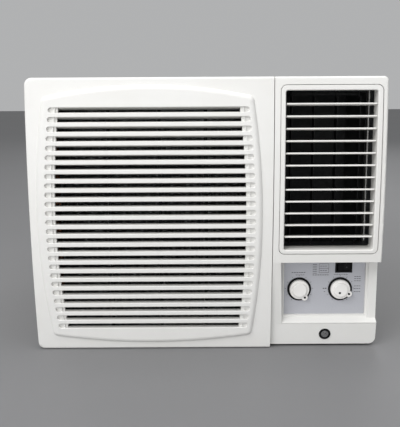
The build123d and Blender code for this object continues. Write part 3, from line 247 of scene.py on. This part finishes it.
def bead_foam(name, color):
    """Moulded foam that shows its beads."""
    shader = Shader(name, color, 0.85)
    bead = shader.cells(330.0)
    # Each bead is lighter in its middle and darker toward its edge: painted shade in the hollows between the
    # beads.
    shader.vary_color(shader.spread(bead, 1, 0, 0.1, 0.8), 0.7, 1.1)
    shader.vary_roughness(shader.noise(90.0, 3.0), 0.06)
    shader.bump(bead, 0.0002, -0.6)
    return shader.material


def nylon_net(name):
    # The net is nearly black, darkened so the slots of the grille read as deep black: painted shade on top of the
    # net's own dark colour.
    shader = Shader(name, (0.005, 0.005, 0.006), 0.6)
    shader.bsdf.inputs["Specular IOR Level"].default_value = 0.15
    shader.vary_color(shader.spread(shader.noise(60.0, 4.0), 0, 1), 0.7, 1.7)
    shader.vary_roughness(shader.noise(700.0, 2.0), 0.12)
    shader.bump(shader.noise(2600.0, 2.0), 0.00005, 0.5)
    return shader.material


WHITE = (0.80, 0.795, 0.775)
MATERIALS = {
    "front_plastic": moulded("front_plastic", WHITE),
    "louver_plastic": moulded("louver_plastic", (0.83, 0.82, 0.795), 0.38, 0.00003),
    "knob_plastic": moulded("knob_plastic", (0.90, 0.885, 0.865), 0.33, 0.00002),
    "fascia": silver_print("fascia"),
    "black_plastic": moulded(
        "black_plastic", (0.005, 0.005, 0.006), 0.55, 0.00003, 1100.0, 0.8, 0.18
    ),
    "sleeve_paint": enamel("sleeve_paint", (0.60, 0.58, 0.53)),
    "galvanised": spangled("galvanised"),
    "compressor_paint": black_enamel("compressor_paint"),
    "rubber": soft_rubber("rubber"),
    "fins": drawn_metal("fins", (0.74, 0.76, 0.78), 0.32, (1, 1, 0.05), 0.85),
    "copper": drawn_metal("copper", (0.62, 0.27, 0.15), 0.28, (1, 1, 1), 0.62),
    "foam": bead_foam("foam", (0.02, 0.021, 0.022)),
    "fan_plastic": moulded("fan_plastic", (0.035, 0.038, 0.042), 0.45, 0.00004, 900.0, 0.8),
    "steel": drawn_metal("steel", (0.45, 0.45, 0.46), 0.34, (1, 0.1, 1), 0.8),
    # The filter frame is darkened the same way: painted shade behind the grille's slots.
    "filter_plastic": moulded(
        "filter_plastic", (0.008, 0.009, 0.011), 0.55, 0.00003, 1000.0, 0.8, 0.2
    ),
    "filter_net": nylon_net("filter_net"),
    "badge_metal": drawn_metal("badge_metal", (0.42, 0.42, 0.425), 0.3, (1, 1, 1), 0.85),
}


# ---- CAD nodes: smooth shading and finish ----
SMOOTH_ANGLE = math.radians(28)


def finish_cad_nodes():
    slots = {part["node"]: part["material_slot"] for part in frame["record"]["subparts"]}
    for name, obj in nodes.items():
        mesh = obj.data
        mesh.materials.clear()
        mesh.materials.append(MATERIALS[slots[name]])
        mesh.shade_smooth()
        mesh.set_sharp_from_angle(angle=SMOOTH_ANGLE)


finish_cad_nodes()


# ---- Mesh helpers ----
def new_piece(name, mesh, body, material):
    """A mesh from a bmesh, riding on a body with the finish of a record slot."""
    data = bpy.data.meshes.new(name)
    mesh.to_mesh(data)
    mesh.free()
    obj = bpy.data.objects.new(name, data)
    bpy.context.scene.collection.objects.link(obj)
    data.materials.append(MATERIALS[material])
    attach(obj, body)
    return obj


def add_block(mesh, lo, hi):
    """A block between two corners."""
    lo, hi = Vector(lo), Vector(hi)
    centre, size = (lo + hi) / 2, hi - lo
    matrix = Matrix.Translation(centre) @ Matrix.Diagonal((*size, 1))
    return bmesh.ops.create_cube(mesh, size=1.0, matrix=matrix)["verts"]


def add_lathe(mesh, profile, centre, axis_turn, steps=48):
    """A turned shape: profile holds (radius, height along the axis), from axis to axis."""
    rings = []
    for r, h in profile:
        if r == 0:
            rings.append([mesh.verts.new(centre + axis_turn @ Vector((0, 0, h)))])
            continue
        ring = []
        for i in range(steps):
            a = 2 * math.pi * i / steps
            spot = Vector((r * math.cos(a), r * math.sin(a), h))
            ring.append(mesh.verts.new(centre + axis_turn @ spot))
        rings.append(ring)
    for low, high in zip(rings, rings[1:]):
        for i in range(steps):
            j = (i + 1) % steps
            n, m = len(low), len(high)
            unique = list(dict.fromkeys([low[i % n], low[j % n], high[j % m], high[i % m]]))
            if len(unique) > 2:
                mesh.faces.new(unique)


TO_ROOM = Matrix.Rotation(math.pi / 2, 3, "X")  # turns +Z toward the room


def smooth(obj, angle=30):
    obj.data.shade_smooth()
    obj.data.set_sharp_from_angle(angle=math.radians(angle))


# ---- Coils ----
FIN_PITCH = 2.1 * MM
FIN_T = 0.16 * MM
FIN_WAVES = 6
FIN_WAVE_SHIFT = 0.35 * MM


def coil(node, body):
    """Upright fins, each with a shallow wave down its depth."""
    lo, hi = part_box(node)
    mesh = bmesh.new()
    for i in range(int((hi.x - lo.x) / FIN_PITCH)):
        x = lo.x + FIN_PITCH * (i + 0.5)
        outline = []
        for k in range(FIN_WAVES + 1):
            y = lo.y + (hi.y - lo.y) * k / FIN_WAVES
            shift = FIN_WAVE_SHIFT if k % 2 else -FIN_WAVE_SHIFT
            if k in (0, FIN_WAVES):
                shift = 0.0
            outline.append((x + shift, y))
        rows = []
        for side in (-FIN_T / 2, FIN_T / 2):
            for z in (lo.z, hi.z):
                rows.append([mesh.verts.new((px + side, py, z)) for px, py in outline])
        left_low, left_high, right_low, right_high = rows
        sides = (
            (left_low, left_high),
            (right_high, right_low),
            (left_high, right_high),
            (right_low, left_low),
        )
        for a, b in sides:
            for k in range(FIN_WAVES):
                mesh.faces.new((a[k], a[k + 1], b[k + 1], b[k]))
        mesh.faces.new((left_low[0], left_high[0], right_high[0], right_low[0]))
        mesh.faces.new((right_low[-1], right_high[-1], left_high[-1], left_low[-1]))
    bmesh.ops.recalc_face_normals(mesh, faces=mesh.faces)
    piece = new_piece(node + "_pack", mesh, body, "fins")
    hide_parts(node)


coil("condenser_fins", "chassis")
coil("evaporator_fins", "chassis")


# ---- Filter net ----
NET_PITCH = 2.4 * MM
STRAND = 0.42 * MM
STRAND_STEP = 0.4 * STRAND


def filter_net():
    """Upright strands, and level ones that lie a little in front of them."""
    lo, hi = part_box("filter_mesh")
    mesh = bmesh.new()
    y = (lo.y + hi.y) / 2
    half = STRAND / 2
    front = y - STRAND_STEP
    for i in range(int((hi.x - lo.x) / NET_PITCH)):
        x = lo.x + NET_PITCH * (i + 0.5)
        add_block(mesh, (x - half, y - half, lo.z), (x + half, y + half, hi.z))
    for i in range(int((hi.z - lo.z) / NET_PITCH)):
        z = lo.z + NET_PITCH * (i + 0.5)
        add_block(mesh, (lo.x, front - half, z - half), (hi.x, front + half, z + half))
    piece = new_piece("filter_net", mesh, "filter", "filter_net")
    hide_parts("filter_mesh")


filter_net()


# ---- Controls ----
def joint_at(name):
    return Vector(next(j for j in frame["joints"] if j["name"] == name)["pos_m"])


THERMOSTAT = joint_at("thermostat_turn")
SELECTOR = joint_at("selector_turn")
PRINT_T = 0.12 * MM
MARK_H = 0.5 * MM
MARK_INNER, MARK_OUTER = 23.4 * MM, 25.6 * MM  # from the knob's axis
MARK_COUNT = 11
MARK_FIRST, MARK_STEP = 57.0, 29.4  # degrees
THERMOSTAT_POINTER = math.radians(-55.5)
SELECTOR_POINTER = math.radians(-27.5)
DOT_REACH = 17.3 * MM  # from the knob's axis
DOT_R = 2.1 * MM
EAR_STANDS = 8.0 * MM  # how far the pointer ears stand out from the plate
CAP_DOT_X, CAP_DOT_Z = -2.0 * MM, -4.8 * MM  # from the right knob's axis
# The rocker's pale dot is a painted highlight on the black paddle.
ROCKER_DOT_R = 1.3 * MM
ROCKER_DOT_SHARE = 0.72  # of the paddle's length, from its left end


def dot(name, centre, radius, body, material, height=0.25 * MM):
    """A small domed disc facing the room."""
    mesh = bmesh.new()
    profile = [
        (0, -height),
        (radius, -height),
        (radius, height * 0.5),
        (radius * 0.85, height),
        (0, height),
    ]
    add_lathe(mesh, profile, centre, TO_ROOM, 24)
    piece = new_piece(name, mesh, body, material)
    smooth(piece)
    return piece


def knob_dots():
    """The pointer dot on each ear, and the second dot on the right knob's cap."""
    for label, centre, pointer in (
        ("thermostat_knob", THERMOSTAT, THERMOSTAT_POINTER),
        ("selector_knob", SELECTOR, SELECTOR_POINTER),
    ):
        x = centre.x + DOT_REACH * math.cos(pointer)
        z = centre.z + DOT_REACH * math.sin(pointer)
        dot(label + "_pointer_dot", Vector((x, FASCIA_Y - EAR_STANDS, z)), DOT_R, label, "black_plastic")
    cap_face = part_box("selector_knob")[0].y
    spot = Vector((SELECTOR.x + CAP_DOT_X, cap_face, SELECTOR.z + CAP_DOT_Z))
    dot("selector_knob_cap_dot", spot, DOT_R, "selector_knob", "black_plastic")


def rocker_highlight_dot():
    """The pale spot on the rocker's right wing: a painted highlight, a lighter domed dot where the black paddle
    shows a small glint.
    """
    lo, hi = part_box("rocker_paddle")
    x = lo.x + (hi.x - lo.x) * ROCKER_DOT_SHARE
    spot = Vector((x, FASCIA_Y - 0.2 * MM, (lo.z + hi.z) / 2))
    dot("rocker_paddle_dot", spot, ROCKER_DOT_R, "rocker_paddle", "fan_plastic", 0.5 * MM)


def dial_marks(mesh):
    """Short radial marks round both dials."""
    half = MARK_H / 2
    for centre in (THERMOSTAT, SELECTOR):
        place = Matrix.Translation((centre.x, FASCIA_Y, centre.z))
        for i in range(MARK_COUNT):
            turn = Matrix.Rotation(math.radians(MARK_FIRST - MARK_STEP * i), 4, "Y")
            verts = add_block(mesh, (MARK_INNER, -PRINT_T, -half), (MARK_OUTER, PRINT_T, half))
            bmesh.ops.transform(mesh, matrix=place @ turn, verts=verts)


def fascia_print():
    """Plain bars and marks where the plate carries print; no lettering."""
    mesh = bmesh.new()

    def bar(x0, x1, z, height=MARK_H / MM):
        lo = (x0 * MM, FASCIA_Y - PRINT_T, (z - height / 2) * MM)
        hi = (x1 * MM, FASCIA_Y + PRINT_T, (z + height / 2) * MM)
        add_block(mesh, lo, hi)

    def row(x0, x1, z, height=0.9, word=3.4, space=0.9):
        """A run of short bars."""
        x = x0
        while x < x1 - word / 2:
            bar(x, min(x + word, x1), z, height)
            x += word + space

    # over the left dial
    row(153.0, 180.5, 134.6)
    row(160.5, 176.0, 130.0, 0.7)
    # the table between the dials
    for z in (149.5, 146.2, 142.9, 139.6, 136.3, 133.0):
        bar(191.0, 198.5, z, 0.7)
    for z in (150.5, 142.0, 134.0):
        bar(202.5, 220.0, z)
    for x in (202.5, 219.6):
        bar(x, x + 0.4, 142.2, 16.5)
    row(204.5, 218.0, 146.2, 0.7)
    row(204.5, 218.0, 138.0, 0.7)
    row(191.0, 220.0, 129.8)
    # round the right dial
    row(229.5, 256.0, 130.6, 0.6)
    row(210.0, 216.0, 104.6, 1.3, 2.6)
    bar(212.0, 214.5, 98.4, 0.7)
    for z in (126.5, 122.5, 118.5, 108.8, 104.0, 98.0):
        row(266.5, 278.0, z, 0.8)
    dial_marks(mesh)
    new_piece("fascia_print", mesh, "chassis", "black_plastic")


knob_dots()
rocker_highlight_dot()
fascia_print()


# ---- Badge ----
BADGE_TILT = 7.75  # degrees; the band leans with the bulge
BADGE_CENTRE = 0.62  # the pale centre's share of the radius; the rim round it is black
BADGE_T = 1.5 * MM
RIM_HIGH, RIM_LOW = 0.7 * MM, 0.3 * MM  # heights over the centre, at its crest and its outer edge
RIM_BEVEL, RIM_W, RIM_FOOT = 0.4 * MM, 1.4 * MM, 1.9 * MM  # in from the outer edge


def badge_disc():
    """A plain dished disc with a raised rim in place of any mark."""
    centre = (BADGE_LO + BADGE_HI) / 2
    radius = (BADGE_HI.x - BADGE_LO.x) / 2
    tilt = Matrix.Rotation(math.radians(BADGE_TILT), 3, "X")
    mesh = bmesh.new()
    profile = [
        (0, -BADGE_T),
        (radius, -BADGE_T),
        (radius, RIM_LOW),
        (radius - RIM_BEVEL, RIM_HIGH),
        (radius - RIM_W, RIM_HIGH),
        (radius - RIM_FOOT, 0.1 * MM),
        (radius * BADGE_CENTRE, 0),
        (radius * BADGE_CENTRE * 0.5, 0),
        (0, 0),
    ]
    add_lathe(mesh, profile, centre, tilt @ TO_ROOM, 64)
    for face in mesh.faces:
        outward = face.calc_center_median() - centre
        if outward.length > radius * BADGE_CENTRE:
            face.material_index = 1
    piece = new_piece("badge_disc", mesh, "chassis", "badge_metal")
    piece.data.materials.append(MATERIALS["black_plastic"])
    smooth(piece)
    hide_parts("badge")


badge_disc()


# ---- Light and floor ----
def area_light(name, place, aim, size, power, color=(1, 1, 1)):
    data = bpy.data.lights.new(name, "AREA")
    data.shape = "RECTANGLE"
    data.size, data.size_y = size
    data.energy = power
    data.color = color
    lamp = bpy.data.objects.new(name, data)
    bpy.context.scene.collection.objects.link(lamp)
    lamp.location = place
    lamp.rotation_euler = (Vector(aim) - Vector(place)).to_track_quat("-Z", "Y").to_euler()


FLOOR_HALF = 9.0
FLOOR_DROP = 0.3 * MM  # keeps the floor clear of the underside


def studio():
    """Soft light from the front, above and behind, over a plain grey floor."""
    area_light("key", (-1.7, -2.4, 2.5), (0, -0.3, 0.2), (2.2, 1.6), 61)
    area_light("fill", (1.9, -2.2, 1.1), (0, -0.3, 0.25), (1.8, 1.8), 3)
    area_light("low", (-0.5, -2.4, 0.5), (0, -0.3, 0.25), (2.4, 0.9), 15.5)
    area_light("top", (0.0, -0.6, 2.6), (0, -0.2, 0.2), (2.4, 2.0), 32)
    area_light("rear", (0.6, 3.0, 1.8), (0, 0, 0.2), (2.0, 1.6), 22)
    world = bpy.data.worlds.new("studio")
    bpy.context.scene.world = world
    world.use_nodes = True
    background = world.node_tree.nodes["Background"]
    background.inputs["Color"].default_value = (0.93, 0.94, 0.95, 1)
    background.inputs["Strength"].default_value = 0.47

    mesh = bmesh.new()
    bmesh.ops.create_grid(mesh, x_segments=1, y_segments=1, size=FLOOR_HALF)
    data = bpy.data.meshes.new("floor")
    mesh.to_mesh(data)
    mesh.free()
    floor = bpy.data.objects.new("floor", data)
    bpy.context.scene.collection.objects.link(floor)
    floor.location.z = -FLOOR_DROP
    shader = Shader("studio_floor", (0.20, 0.20, 0.205), 0.6)
    shader.vary_color(shader.spread(shader.noise(2.0, 4.0), 0, 1), 0.96, 1.0)
    data.materials.append(shader.material)


studio()
bpy.context.scene.view_settings.view_transform = "Standard"
